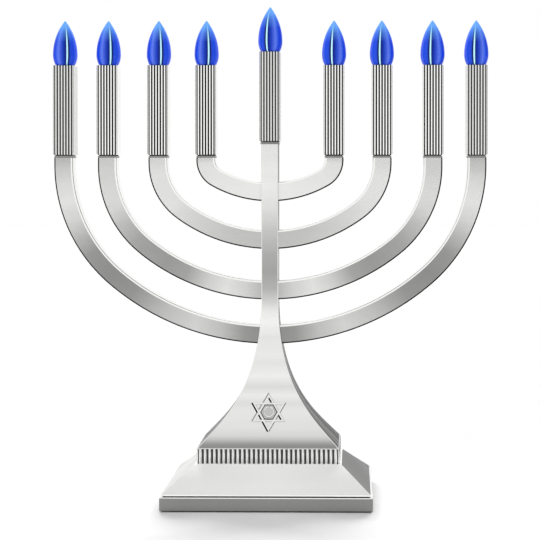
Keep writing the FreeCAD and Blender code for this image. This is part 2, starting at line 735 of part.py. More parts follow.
def arm_outline(body, number):
    """Sketch of a right arm seen from the front: two concentric pairs of arcs."""
    upper, lower, meet = arm_centres(number)
    half, root = SIZES["arm_width"] / 2, SIZES["arm_root"]
    upper_radius, lower_radius = SIZES[f"arm{number}_radius"], arm_lower_radius(number)
    reach, top = SIZES[f"arm{number}_reach"], SIZES["sleeve_bottom"]
    big, small = lower_radius + half, lower_radius - half
    big_end, small_end = -math.acos(root / big), -math.acos(root / small)
    root_low = Vector(root, lower.y + big * math.sin(big_end), 0)
    root_high = Vector(root, lower.y + small * math.sin(small_end), 0)
    sketch = sketch_on(body, "XZ_Plane", f"{body.Name}_outline")
    pieces = [
        Part.LineSegment(Vector(reach + half, top, 0), Vector(reach + half, upper.y, 0)),
        arc_about(upper, upper_radius + half, meet, 0),
        arc_about(lower, big, big_end, meet),
        Part.LineSegment(root_low, root_high),
        arc_about(lower, small, small_end, meet),
        arc_about(upper, upper_radius - half, meet, 0),
        Part.LineSegment(Vector(reach - half, upper.y, 0), Vector(reach - half, top, 0)),
        Part.LineSegment(Vector(reach - half, top, 0), Vector(reach + half, top, 0)),
    ]
    sketch.addGeometry(pieces, False)
    join = [("Tangent", 0, 2, 1, 2), ("Tangent", 1, 1, 2, 2), ("Coincident", 2, 1, 3, 1),
            ("Coincident", 3, 2, 4, 1), ("Tangent", 4, 2, 5, 1), ("Tangent", 5, 2, 6, 1),
            ("Coincident", 6, 2, 7, 1), ("Coincident", 7, 2, 0, 1),
            ("Coincident", 1, 3, 5, 3), ("Coincident", 2, 3, 4, 3), ("PointOnObject", 2, 3, -2),
            ("Vertical", 0), ("Vertical", 3), ("Vertical", 6)]
    for item in join:
        sketch.addConstraint(Sketcher.Constraint(*item))
    arm = f"arm{number}_"
    bind_point(sketch, 0, 1, f"{arm}reach + arm_width / 2", "sleeve_bottom")
    bind_point(sketch, 6, 1, f"{arm}reach - arm_width / 2", f"{arm}spring")
    bind_radius(sketch, 1, f"{arm}radius + arm_width / 2")
    square = f"{arm}reach * {arm}reach - 2 * {arm}reach * {arm}radius + {arm}drop * {arm}drop"
    bind_radius(sketch, 4, f"( {square} ) / ( 2 * ( {arm}drop - {arm}radius ) ) - arm_width / 2")
    index = sketch.addConstraint(Sketcher.Constraint("DistanceX", -1, 1, 3, 1, root))
    sketch.setExpression(f"Constraints[{index}]", size("arm_root"))
    index = sketch.addConstraint(Sketcher.Constraint("Horizontal", 7))
    return sketch


def make_arm(side, number, column):
    """Curved arm: flush against the column, with a tenon, a spigot and a wire channel."""
    name = f"arm_{side}_{number}"
    body = new_body(name + "_body")
    pad(body, arm_outline(body, number), "arm_depth", symmetric=True)
    bar = part_cut(name + "_bar", body, column)
    tenon = fixed_shape(name + "_tenon",
                        tube_along(arm_path(number, 0, 2.9, start_x=SIZES["arm_root"] + 4),
                                   SIZES["tenon_radius"]))
    spigot = part_cylinder(name + "_spigot", "sleeve_bore_radius - 0.1", "sleeve_bottom - 1",
                           "sleeve_bottom + spigot_length", f"arm{number}_reach")
    channel = fixed_shape(name + "_channel",
                          tube_along(arm_path(number, SIZES["sleeve_bottom"] + 8, 2.0),
                                     SIZES["wire_bore_radius"]))
    solid = part_fuse(name + "_solid", [bar, tenon, spigot])
    arm = part_cut(name, solid, channel)
    arm.Placement = side_turn(side)
    keep(name, arm)


# ---------------------------------------------------------------- lamps

def make_sleeve(lamp):
    """Square reeded candle sleeve with a round bore."""
    name = f"sleeve_{lamp}"
    body = new_body(name)
    outline = sketch_on(body, "XY_Plane", name + "_outline")
    half = "sleeve_width / 2"
    add_rectangle(outline, f"- {half}", f"- {half}", half, half)
    block = pad(body, outline, "sleeve_length")
    chamfer_where(body, block, lambda p: abs(p.z) < 1e-6, "sleeve_chamfer")
    bore = sketch_on(body, "XY_Plane", name + "_bore")
    add_circle(bore, "sleeve_bore_radius")
    pocket(body, bore)
    grooves_per_face = 7
    start = f"- {(grooves_per_face - 1) / 2} * sleeve_pitch - sleeve_groove_width / 2"
    end = f"- {(grooves_per_face - 1) / 2} * sleeve_pitch + sleeve_groove_width / 2"
    deep, past = f"{half} - sleeve_groove_depth", f"{half} + 1"
    for axis in ("H_Axis", "V_Axis"):
        grooves = sketch_on(body, "XY_Plane", f"{name}_{axis}_grooves")
        if axis == "H_Axis":
            add_rectangle(grooves, start, deep, end, past)
            add_rectangle(grooves, start, f"- ( {past} )", end, f"- ( {deep} )")
        else:
            add_rectangle(grooves, deep, start, past, end)
            add_rectangle(grooves, f"- ( {past} )", start, f"- ( {deep} )", end)
        cut = pocket(body, grooves)
        repeat_along(body, cut, grooves, axis, grooves_per_face, "sleeve_pitch")
    x, z = lamp_place(lamp)
    place(body, x=x, z=z)
    keep(name, body)


def make_lens(lamp):
    """Hollow teardrop lens: a revolved ogive over a rounded shoulder."""
    name = f"flame_lens_{lamp}"
    body = new_body(name)
    sketch = sketch_on(body, "XZ_Plane", name + "_profile")
    base, widest, belly = SIZES["lens_base_radius"], SIZES["lens_radius"], SIZES["lens_belly"]
    length, bore = SIZES["lens_length"], SIZES["lens_bore_radius"]
    room, tip = SIZES["lens_room"], SIZES["lens_tip_radius"]
    shoulder = (belly ** 2 + (widest - base) ** 2) / (2 * (widest - base))
    ogive = ((length - belly) ** 2 + (widest - tip) ** 2) / (2 * (widest - tip))
    shoulder_centre = Vector(widest - shoulder, belly, 0)
    ogive_centre = Vector(widest - ogive, belly, 0)
    tip_angle = math.atan2(length - belly, tip - ogive_centre.x)
    foot_angle = -math.atan2(belly, base - shoulder_centre.x)
    pieces = [
        Part.LineSegment(Vector(bore, 0, 0), Vector(base, 0, 0)),
        arc_about(shoulder_centre, shoulder, foot_angle, 0),
        arc_about(ogive_centre, ogive, 0, tip_angle),
        Part.LineSegment(Vector(tip, length, 0), Vector(0, length, 0)),
        Part.LineSegment(Vector(0, length, 0), Vector(0, room, 0)),
        Part.LineSegment(Vector(0, room, 0), Vector(bore, room, 0)),
        Part.LineSegment(Vector(bore, room, 0), Vector(bore, 0, 0)),
    ]
    sketch.addGeometry(pieces, False)
    for piece in range(len(pieces)):
        following = (piece + 1) % len(pieces)
        sketch.addConstraint(Sketcher.Constraint("Coincident", piece, 2, following, 1))
    corners = (("lens_bore_radius", "0"), ("lens_base_radius", "0"), ("lens_radius", "lens_belly"),
               ("lens_tip_radius", "lens_length"), ("0", "lens_length"), ("0", "lens_room"),
               ("lens_bore_radius", "lens_room"))
    for piece, (x, y) in enumerate(corners):
        bind_point(sketch, piece, 1, x, y)
    for arc in (1, 2):
        index = sketch.addConstraint(Sketcher.Constraint("DistanceY", -1, 1, arc, 3, belly))
        sketch.setExpression(f"Constraints[{index}]", size("lens_belly"))
    turned = body.newObject("PartDesign::Revolution", name + "_turned")
    turned.Profile = sketch
    turned.ReferenceAxis = (sketch, ["V_Axis"])
    turned.Angle = 360
    x, z = lamp_place(lamp)
    place(body, x=x, z=f"{z} + sleeve_length + lens_gap")
    keep(name, body)


def make_plug(lamp):
    """Light source of one lamp: contact plug, holder for the lens and the diode."""
    name = f"lamp_plug_{lamp}"
    shank = part_cylinder(name + "_shank", "plug_radius", "- plug_length", "lens_gap + 0.5")
    holder = part_cylinder(name + "_holder", "lens_bore_radius - 0.05", "lens_gap", "lens_gap + 3")
    diode = part_cylinder(name + "_diode", "2.5", "lens_gap + 3 - 0.2", "lens_gap + 7")
    dome = doc.addObject("Part::Sphere", name + "_dome")
    bind(dome, Radius="2.5")
    place(dome, z="lens_gap + 7")
    plug = part_fuse(name, [shank, holder, diode, dome])
    x, z = lamp_place(lamp)
    place(plug, x=x, z=f"{z} + sleeve_length")
    keep(name, plug)


def make_sockets():
    """Lamp sockets in the tops of the sleeves, as one group."""
    sockets = []
    for lamp in LAMPS:
        x, z = lamp_place(lamp)
        top = f"{z} + sleeve_length - 0.6"
        bottom = f"{z} + sleeve_length - socket_length"
        cup = part_cylinder(f"cup_{lamp}", "socket_radius", bottom, top, x)
        bore = part_cylinder(f"cup_bore_{lamp}", "plug_radius + plug_clearance",
                             f"{bottom} + 1.5", f"{top} + 1", x)
        wire_hole = part_cylinder(f"cup_wire_hole_{lamp}", "1.3", f"{bottom} - 1",
                                  f"{bottom} + 2", x)
        sockets.append(part_cut(f"lamp_socket_{lamp}", cup, bore, wire_hole))
    keep("lamp_sockets", part_group("lamp_sockets", sockets))


def make_wiring():
    """Lead of every lamp down its arm, and the trunk lead down the stem."""
    lead = SIZES["wire_radius"]
    leads = []
    top = SIZES["sleeve_bottom"] + SIZES["sleeve_length"] - SIZES["socket_length"] + 1
    for side in SIDES:
        for number in ARM_NUMBERS:
            shape = tube_along(arm_path(number, top, 2.3), lead)
            leads.append(fixed_shape(f"lead_{side}_{number}", shape, side_turn(side)))
    trunk = part_cylinder("trunk_lead", "2", "22.8", "column_top + sleeve_length - socket_length - 1")
    leads.append(trunk)
    keep("wiring_harness", part_group("wiring_harness", leads))


# ---------------------------------------------------------------- build, test, write

def failed_objects():
    """Names of objects that did not compute, and of pieces with no valid solid."""
    broken = [item.Name for item in doc.Objects if {"Invalid", "Error"} & set(item.State)]
    broken += [name for name, item in nodes.items()
               if item.Shape.isNull() or not item.Shape.isValid() or not item.Shape.Solids]
    return broken


def main():
    make_base_rim()
    make_base_shell()
    make_fluted_band()
    make_bottom_plate()
    make_battery_bay()
    make_base_hardware()
    column = make_column()
    make_star(column)
    make_button()
    for side in SIDES:
        for number in ARM_NUMBERS:
            make_arm(side, number, column)
    for lamp in LAMPS:
        make_sleeve(lamp)
        make_lens(lamp)
        make_plug(lamp)
    make_sockets()
    make_wiring()
    doc.recompute()
    broken = failed_objects()
    if broken:
        raise RuntimeError("not built: " + ", ".join(broken))
    os.makedirs("parts", exist_ok=True)
    for name, item in nodes.items():
        item.Shape.exportStep(f"parts/{name}.step")
    print(f"{len(nodes)} pieces written")


main()
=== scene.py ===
"""Looks of the electric menorah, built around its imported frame.

Lengths are millimetres until new_mesh() turns them into metres; the floor, lights and camera
are set in metres. +Z is up, the front faces -Y, and the pieces take their places from the
frame's own boxes.
"""
import math

import bmesh
import bpy
from mathutils import Matrix, Vector


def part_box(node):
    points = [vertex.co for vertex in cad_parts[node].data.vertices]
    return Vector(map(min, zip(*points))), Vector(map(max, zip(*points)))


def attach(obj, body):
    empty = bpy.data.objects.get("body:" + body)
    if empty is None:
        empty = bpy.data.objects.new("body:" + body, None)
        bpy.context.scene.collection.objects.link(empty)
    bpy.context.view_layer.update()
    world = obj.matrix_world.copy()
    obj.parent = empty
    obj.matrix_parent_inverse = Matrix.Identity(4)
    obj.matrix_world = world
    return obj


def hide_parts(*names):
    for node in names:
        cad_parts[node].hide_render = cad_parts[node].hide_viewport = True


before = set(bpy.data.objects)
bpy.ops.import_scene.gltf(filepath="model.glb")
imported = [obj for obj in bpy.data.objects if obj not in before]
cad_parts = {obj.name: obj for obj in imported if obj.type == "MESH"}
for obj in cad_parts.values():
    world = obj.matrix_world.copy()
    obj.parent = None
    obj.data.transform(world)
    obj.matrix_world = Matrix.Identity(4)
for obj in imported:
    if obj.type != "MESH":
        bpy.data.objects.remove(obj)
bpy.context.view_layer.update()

MM = 0.001

ARM_NUMBERS = (1, 2, 3, 4)
SIDES = {"left": -1, "right": 1}
LAMPS = ([f"left_{n}" for n in reversed(ARM_NUMBERS)] + ["centre"]
         + [f"right_{n}" for n in ARM_NUMBERS])


def box_mm(node):
    """Lowest and highest corner of a CAD node, in millimetres."""
    low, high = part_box(node)
    return Vector(low) / MM, Vector(high) / MM


# ------------------------------------------------------------------ mesh tools

def new_mesh(name, points, faces):
    """Mesh in metres from millimetre points."""
    mesh = bpy.data.meshes.new(name)
    mesh.from_pydata([Vector(p) * MM for p in points], [], faces)
    return mesh


def turn_faces_outward(mesh):
    built = bmesh.new()
    built.from_mesh(mesh)
    bmesh.ops.recalc_face_normals(built, faces=built.faces)
    built.to_mesh(mesh)
    built.free()


def mesh_piece(name, points, faces, materials, body="root", stands_for=(),
               sharp=35, uvs=None, face_material=None, cutters=()):
    """Mesh object from millimetre points; rides on a body and stands for CAD nodes."""
    mesh = new_mesh(name, points, faces)
    if uvs:
        layer = mesh.uv_layers.new(name="UVMap")
        for loop in mesh.loops:
            layer.data[loop.index].uv = uvs[loop.vertex_index]
    for material in materials:
        mesh.materials.append(material)
    if face_material:
        for polygon in mesh.polygons:
            polygon.material_index = face_material(polygon)
    turn_faces_outward(mesh)
    piece = bpy.data.objects.new(name, mesh)
    bpy.context.scene.collection.objects.link(piece)
    if cutters:
        piece.data = mesh = carved(piece, cutters)
    mesh.shade_smooth()
    mesh.set_sharp_from_angle(angle=math.radians(sharp))
    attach(piece, body)
    if stands_for:
        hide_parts(*stands_for)
    return piece


def carved(piece, cutters):
    """Mesh of a piece with closed millimetre shapes cut out of it."""
    mesh = new_mesh("cutter", *join_shapes(cutters))
    turn_faces_outward(mesh)
    tool = bpy.data.objects.new("cutter", mesh)
    bpy.context.scene.collection.objects.link(tool)
    cut = piece.modifiers.new("cut", "BOOLEAN")
    cut.operation, cut.solver, cut.object = "DIFFERENCE", "EXACT", tool
    bpy.context.view_layer.update()
    seen = piece.evaluated_get(bpy.context.evaluated_depsgraph_get())
    result = bpy.data.meshes.new_from_object(seen)
    piece.modifiers.clear()
    bpy.data.objects.remove(tool)
    return result


def loft(rings, closed_along=False):
    """Points and faces through rings of equal length; open ends are capped."""
    points = [point for ring in rings for point in ring]
    size, count = len(rings[0]), len(rings)
    faces = []
    for row in range(count if closed_along else count - 1):
        nxt = (row + 1) % count
        for i in range(size):
            j = (i + 1) % size
            faces.append((row * size + i, row * size + j, nxt * size + j, nxt * size + i))
    if not closed_along:
        faces.append(tuple(reversed(range(size))))
        faces.append(tuple(range((count - 1) * size, count * size)))
    return points, faces


def join_shapes(shapes):
    """One point and face list out of several."""
    points, faces = [], []
    for more_points, more_faces in shapes:
        start = len(points)
        points.extend(more_points)
        faces.extend(tuple(i + start for i in face) for face in more_faces)
    return points, faces


def rounded_rectangle(half_x, half_y, radius, steps=4):
    """Counter-clockwise outline with rounded corners, as (x, y) pairs."""
    outline = []
    for quarter, (sx, sy) in enumerate(((1, 1), (-1, 1), (-1, -1), (1, -1))):
        for step in range(steps + 1):
            angle = math.pi / 2 * (quarter + step / steps)
            outline.append((sx * (half_x - radius) + radius * math.cos(angle),
                            sy * (half_y - radius) + radius * math.sin(angle)))
    return outline


def rectangle_sweep(half_x, half_y, profile, corner=0.6, closed=True):
    """Sweep a profile of (inset, z) points round a rectangle."""
    rings = []
    for inset, z in profile:
        radius = max(0.15, corner - inset)
        outline = rounded_rectangle(half_x - inset, half_y - inset, radius)
        rings.append([(x, y, z) for x, y in outline])
    return loft(rings, closed_along=closed)


def revolve(profile, steps=48):
    """Turn (radius, z) points about Z; a radius of zero closes the surface."""
    points, faces, rows = [], [], []
    for radius, z in profile:
        if radius < 1e-6:
            rows.append([len(points)])
            points.append((0, 0, z))
        else:
            rows.append(list(range(len(points), len(points) + steps)))
            turns = [2 * math.pi * k / steps for k in range(steps)]
            points += [(radius * math.cos(a), radius * math.sin(a), z) for a in turns]
    for lower, upper in zip(rows, rows[1:]):
        for k in range(steps):
            j = (k + 1) % steps
            quad = (lower[k % len(lower)], lower[j % len(lower)],
                    upper[j % len(upper)], upper[k % len(upper)])
            faces.append(tuple(dict.fromkeys(quad)))
    return points, faces


def cylinder(radius, low, high, steps=40):
    """Closed upright cylinder between two heights."""
    return revolve([(0, low), (radius, low), (radius, high), (0, high)], steps)


def moved(shape, matrix):
    """Shape with its points carried through a matrix."""
    points, faces = shape
    return [matrix @ Vector(p) for p in points], faces


def arc_points(centre, radius, first, last, steps):
    """Points on an arc between two angles in degrees, both ends included."""
    angles = [math.radians(first + (last - first) * k / steps) for k in range(steps + 1)]
    return [(centre[0] + radius * math.cos(a), centre[1] + radius * math.sin(a)) for a in angles]


# ------------------------------------------------------------------ materials

def new_material(name, color, metallic, roughness):
    """Principled material with its constant values on the shader's own sockets."""
    material = bpy.data.materials.new(name)
    material.use_nodes = True
    shader = material.node_tree.nodes["Principled BSDF"]
    shader.inputs["Base Color"].default_value = (*color, 1)
    shader.inputs["Metallic"].default_value = metallic
    shader.inputs["Roughness"].default_value = roughness
    return material, shader


def add_node(material, kind, **inputs):
    """New node; each keyword names an input, with underscores for spaces."""
    node = material.node_tree.nodes.new(kind)
    for key, value in inputs.items():
        node.inputs[key.replace("_", " ")].default_value = value
    return node


def link(material, source, output, target, socket):
    material.node_tree.links.new(source.outputs[output], target.inputs[socket])


def shade(*levels):
    """Linear colour for display levels between 0 and 1; a single level gives a neutral silver."""
    linear = [((level + 0.055) / 1.055) ** 2.4 for level in levels]
    return tuple(linear) if len(linear) == 3 else (linear[0], linear[0], linear[0] * 0.985)


def ramp_node(material, stops):
    """Colour ramp with (position, colour) stops."""
    node = add_node(material, "ShaderNodeValToRGB")
    elements = node.color_ramp.elements
    elements[0].position, elements[0].color = stops[0][0], (*stops[0][1], 1)
    elements[1].position, elements[1].color = stops[-1][0], (*stops[-1][1], 1)
    for position, color in stops[1:-1]:
        elements.new(position).color = (*color, 1)
    return node


def mix_colors(material, factor, first, second, blend="MIX"):
    """Mix node; factor is a socket or a number, first and second are sockets."""
    node = add_node(material, "ShaderNodeMix")
    node.data_type, node.blend_type = "RGBA", blend
    links = material.node_tree.links
    if isinstance(factor, (int, float)):
        node.inputs[0].default_value = factor
    else:
        links.new(factor, node.inputs[0])
    links.new(first, node.inputs[6])
    links.new(second, node.inputs[7])
    return node.outputs[2]


def surface_detail(material, shader, tone, roughness, grain_scale, color_change, rough_change,
                   bump_height, stretch=(1, 1, 1), cloud_scale=18):
    """Fine grain and soft clouding over a tone, in colour, roughness and bump."""
    place = add_node(material, "ShaderNodeTexCoord")
    mapping = add_node(material, "ShaderNodeMapping", Scale=stretch)
    link(material, place, "Object", mapping, "Vector")
    grain = add_node(material, "ShaderNodeTexNoise", Scale=grain_scale, Detail=6.0, Roughness=0.6)
    link(material, place, "Object", grain, "Vector")
    cloud = add_node(material, "ShaderNodeTexNoise", Scale=cloud_scale, Detail=3.0)
    link(material, mapping, "Vector", cloud, "Vector")
    patches = ramp_node(material, [(0.3, (1 - color_change,) * 3), (0.7, (1, 1, 1))])
    link(material, cloud, "Fac", patches, "Fac")
    color = mix_colors(material, 1.0, tone.outputs["Color"], patches.outputs["Color"], "MULTIPLY")
    material.node_tree.links.new(color, shader.inputs["Base Color"])
    rough = ramp_node(material, [(0.3, (roughness - rough_change,) * 3),
                                 (0.7, (roughness + rough_change,) * 3)])
    link(material, grain, "Fac", rough, "Fac")
    link(material, rough, "Color", shader, "Roughness")
    bump = add_node(material, "ShaderNodeBump", Strength=0.25, Distance=bump_height * MM)
    link(material, grain, "Fac", bump, "Height")
    link(material, bump, "Normal", shader, "Normal")
    return material


def even_tone(material, color):
    """Fine mottle between two close shades of one colour."""
    noise = add_node(material, "ShaderNodeTexNoise", Scale=140.0, Detail=4.0)
    ramp = ramp_node(material, [(0.35, tuple(c * 0.97 for c in color)), (0.65, color)])
    link(material, noise, "Fac", ramp, "Fac")
    return ramp


def silver_material(name, level, roughness, edge=1.0, metallic=1.0):
    """Even silver; the level is its brightness and edge tints its grazing reflections."""
    color = shade(level)
    material, shader = new_material(name, color, metallic, roughness)
    shader.inputs["Specular Tint"].default_value = (edge, edge, edge, 1)
    return surface_detail(material, shader, even_tone(material, color), roughness, 900, 0.04,
                          0.04, 0.01)


def plastic_material(name, color, roughness, grain=1500, bump=0.03):
    """Moulded plastic, rubber or painted surface with a fine grain."""
    material, shader = new_material(name, color, 0, roughness)
    return surface_detail(material, shader, even_tone(material, color), roughness, grain, 0.08,
                          0.06, bump)


def painted_light_silver(name, stops, roughness=0.2, height=None, metallic=1.0):
    """Brushed-looking silver with painted reflections and shade: its tone drifts along a bar (UV)
    or up a height range in millimetres.
    """
    material, shader = new_material(name, shade(stops[0][1]), metallic, roughness)
    place = add_node(material, "ShaderNodeTexCoord")
    parts = add_node(material, "ShaderNodeSeparateXYZ")
    link(material, place, "UV" if height is None else "Object", parts, "Vector")
    if height is None:
        tone = ramp_node(material, [(position, shade(level)) for position, level in stops])
        link(material, parts, "X", tone, "Fac")
    else:
        low, high = height
        span = add_node(material, "ShaderNodeMapRange", From_Min=low * MM, From_Max=high * MM)
        link(material, parts, "Z", span, "Value")
        tone = ramp_node(material, [((z - low) / (high - low), shade(level)) for z, level in stops])
        link(material, span, "Result", tone, "Fac")
    return surface_detail(material, shader, tone, roughness, 900, 0.035, 0.04, 0.01,
                          stretch=(0.4, 0.4, 7), cloud_scale=22)


def lens_material():
    """Tinted lens with a painted highlight: a pale line between painted dark edges, with softer
    painted reflection patches, once in front and once behind.
    """
    material, shader = new_material("blue_lens", shade(0.18, 0.32, 0.84), 0, 0.08)
    around = add_node(material, "ShaderNodeUVMap")
    around.uv_map = "UVMap"
    parts = add_node(material, "ShaderNodeSeparateXYZ")
    link(material, around, "UV", parts, "Vector")
    # Painted reflection on the lens: pale patches, a bright line and the near-black edges beside
    # it.
    edge, wash, blue = (0.09, 0.25, 0.82), (0.17, 0.32, 0.86), (0.14, 0.29, 0.83)
    sheen, pale, haze = (0.25, 0.38, 0.86), (0.35, 0.45, 0.87), (0.25, 0.36, 0.80)
    glint, clear, deep = (0.26, 0.38, 0.86), (0.12, 0.25, 0.72), (0.04, 0.16, 0.59)
    dusk, night, black = (0.04, 0.12, 0.46), (0.03, 0.08, 0.27), (0.02, 0.05, 0.20)
    line = (0.72, 0.92, 1.0)
    left = [(0.0, edge), (0.15, edge), (0.21, sheen), (0.265, pale), (0.31, haze), (0.37, clear),
            (0.42, deep), (0.462, dusk), (0.476, black)]
    middle = [(0.482, line), (0.518, line)]
    right = [(0.524, black), (0.545, night), (0.575, clear), (0.62, blue), (0.70, blue),
             (0.75, glint), (0.82, wash), (1.0, edge)]
    stops = left + middle + right
    bands = ramp_node(material, [(position, shade(*color)) for position, color in stops])
    link(material, parts, "X", bands, "Fac")
    fade = ((0, 0), (0.5, 0), (0.7, 0.3), (0.86, 0.85), (1, 1))
    height = ramp_node(material, [(place, (level,) * 3) for place, level in fade])
    link(material, parts, "Y", height, "Fac")
    tip = even_tone(material, shade(0.42, 0.67, 0.97))
    color = mix_colors(material, height.outputs["Color"], bands.outputs["Color"],
                       tip.outputs["Color"])
    for socket in ("Base Color", "Emission Color"):
        material.node_tree.links.new(color, shader.inputs[socket])
    shader.inputs["Emission Strength"].default_value = 0.25
    shader.inputs["Specular IOR Level"].default_value = 0.08
    shader.inputs["Coat Weight"].default_value = 0.05
    shader.inputs["Coat Roughness"].default_value = 0.05
    grain = add_node(material, "ShaderNodeTexNoise", Scale=60.0, Detail=2.0)
    rough = ramp_node(material, [(0.3, (0.06,) * 3), (0.7, (0.14,) * 3)])
    link(material, grain, "Fac", rough, "Fac")
    link(material, rough, "Color", shader, "Roughness")
    return material


SILVER = silver_material("satin_silver", 0.93, 0.16)
# Painted shade: a darker copy of the silver with dim grazing reflections, for faces that look
# sideways (column flanks, band ribs).
FLANK_SHADE_SILVER = silver_material("flank_painted_shade", 0.69, 0.2, edge=0.32)
# Painted shade on the base's right side slope and painted light on its left side slope: two copies
# of one silver, darker on the right, brighter on the left.
RIGHT_SLOPE_SHADE = silver_material("right_slope_painted_shade", 0.80, 0.2, edge=0.38)
LEFT_SLOPE_LIGHT = silver_material("side_silver", 1.0, 0.2, edge=0.85)
# Painted highlight: a brighter, glossier copy of the silver on edges, corners, lips, ridges and the
# button's ring.
HIGHLIGHT_SILVER = silver_material("bright_silver", 0.98, 0.12)
# Painted light and painted shade on the sleeves: a lit copy of the silver, and a greyer shaded copy
# for three of the nine sleeves.
SLEEVE_LIT_SILVER = silver_material("sleeve_painted_light", 1.0, 0.16)
SLEEVE_SHADED_SILVER = silver_material("sleeve_painted_shade", 0.92, 0.2)
# Painted shade: a grey copy for the shaded sleeves' grooves and necks, and a near-black copy for
# the other sleeves' grooves and necks and for the star's shadow strips and hexagon outline.
SHADE_GREY = silver_material("painted_shade_grey", 0.27, 0.4)
SHADE_DARK = silver_material("painted_shade_dark", 0.04, 0.5)
RIB_SILVER = silver_material("rib_silver", 0.93, 0.2)
# Painted shade between the band's ribs.
BAND_CORE_SHADE = silver_material("band_core_painted_shade", 0.30, 0.4)
# Painted shade: a near-black line on the base's parting neck and on the arms' outer bevels.
SHADE_LINE = silver_material("painted_shade_line", 0.10, 0.45)
# Painted shade in grey: the sleeves' collars and the strips beside the star's rising bars.
GREY_SHADE_LINE = silver_material("painted_grey_shade", 0.55, 0.35)
# Painted shade: the rim's face is a darker, less metallic copy of the silver, standing in for the
# shadowed floor it mirrors.
RIM_SHADE = silver_material("rim_painted_shade", 0.52, 0.4, metallic=0.35)
DISC_SILVER = silver_material("disc_silver", 0.78, 0.25)
# Painted light and shade on the front and back slopes: brightest in the middle, darker towards the
# ends.
SLOPE_LIGHT_STOPS = [(0, 1.0), (0.4, 0.98), (0.65, 0.90), (0.85, 0.84), (1, 0.82)]
SLOPE_PAINTED_LIGHT = painted_light_silver("slope_painted_light", SLOPE_LIGHT_STOPS, 0.35, metallic=0.25)
# Painted reflection and shade up the column's front and back: a dark band between the second and
# third arms, and darker near the foot.
COLUMN_REFLECTION_STOPS = [
    (34, 0.56), (36, 0.575), (37.5, 0.65), (39.5, 0.78), (41.5, 0.86), (46, 0.90), (56, 0.915),
    (60, 0.885), (65, 0.94), (70, 0.875), (76, 0.95), (85, 0.91), (90, 0.935), (100, 0.91),
    (110, 0.965), (116, 0.92), (122, 0.82), (130, 0.70), (141, 0.64), (152, 0.68), (170, 0.80),
    (182, 0.89), (195, 0.93), (222, 0.90)]
COLUMN_REFLECTION = painted_light_silver("column_painted_reflection", COLUMN_REFLECTION_STOPS, 0.16, (33, 223))
# Painted reflections along each arm, from its sleeve (0) to the column (1): darker zones across the
# bends and, on the second to fourth arms, painted shade at the end where it meets the column.
ARM_REFLECTION_STOPS = {
    1: [(0, 0.80), (0.1, 0.88), (0.5, 0.91), (0.9, 0.925), (1, 0.86)],
    2: [(0, 0.84), (0.15, 0.89), (0.42, 0.89), (0.6, 0.83), (0.8, 0.775), (0.97, 0.76),
        (1, 0.35)],
    3: [(0, 0.80), (0.17, 0.86), (0.25, 0.845), (0.34, 0.75), (0.45, 0.655), (0.6, 0.61),
        (0.68, 0.65), (0.76, 0.82), (0.83, 0.89), (0.9, 0.83), (0.975, 0.70), (1, 0.40)],
    4: [(0, 0.72), (0.1, 0.86), (0.17, 0.895), (0.24, 0.84), (0.31, 0.72), (0.38, 0.60),
        (0.48, 0.565), (0.57, 0.59), (0.68, 0.755), (0.77, 0.83), (0.84, 0.76), (0.91, 0.60),
        (0.975, 0.55), (1, 0.25)]}
ARM_REFLECTIONS = {number: painted_light_silver(f"arm_painted_reflection_{number}", stops)
             for number, stops in ARM_REFLECTION_STOPS.items()}
GREY_PLASTIC = plastic_material("grey_plastic", (0.42, 0.42, 0.43), 0.5)
DARK_PLASTIC = plastic_material("dark_plastic", (0.05, 0.05, 0.055), 0.45)
WHITE_PLASTIC = plastic_material("white_plastic", (0.8, 0.8, 0.78), 0.35)
RUBBER = plastic_material("black_rubber", (0.025, 0.025, 0.027), 0.75, grain=2500, bump=0.06)
BOARD = plastic_material("board_green", (0.03, 0.20, 0.08), 0.35)
STEEL = silver_material("spring_steel", 0.8, 0.28)
LENS = lens_material()


# ------------------------------------------------------------------ column shape

FOOT_LOW, FOOT_HIGH = box_mm("column_front_shell")
BAND_LOW, BAND_HIGH = box_mm("fluted_band")
COLUMN_BOTTOM = FOOT_LOW.z
COLUMN_TOP = box_mm("sleeve_centre")[0].z
FOOT_HALF = FOOT_HIGH.x
STEM_HALF, STEM_HALF_DEPTH = 5.3, 5.4
FLARE_LEAD = (15.74, 16.93)  # second pole of the flank's curve, inward and up from the foot
FLARE_PULL_Z, FLARE_TOP = 68.4, 126.7
DEPTH_RATIO = 0.49
COLUMN_WALL = 2.0
EDGE_RADIUS = 0.45
STAR_HEIGHT = 55.1
BUTTON_RADIUS = 3.3
SCREW_RECESS, SCREW_SPREAD, SCREW_HEIGHT = 3.2, 19, 43
SCREW_HOLE = (9, 39)  # from inside the column to behind it


def flare_point(t):
    """Half width and height of the column's flank at a parameter of its cubic curve."""
    poles = ((FOOT_HALF, COLUMN_BOTTOM),
             (FOOT_HALF - FLARE_LEAD[0], COLUMN_BOTTOM + FLARE_LEAD[1]),
             (STEM_HALF, FLARE_PULL_Z), (STEM_HALF, FLARE_TOP))
    weights = ((1 - t) ** 3, 3 * t * (1 - t) ** 2, 3 * t * t * (1 - t), t ** 3)
    return tuple(sum(w * pole[i] for w, pole in zip(weights, poles)) for i in (0, 1))


def half_depth(half_width):
    """Half depth of the column where it has a half width."""
    return STEM_HALF_DEPTH + DEPTH_RATIO * (half_width - STEM_HALF)


def flare_at(height):
    """Half width of the column at a height."""
    low, high = 0.0, 1.0
    for _ in range(50):
        t = (low + high) / 2
        low, high = (t, high) if flare_point(t)[1] < height else (low, t)
    return flare_point(t)[0]


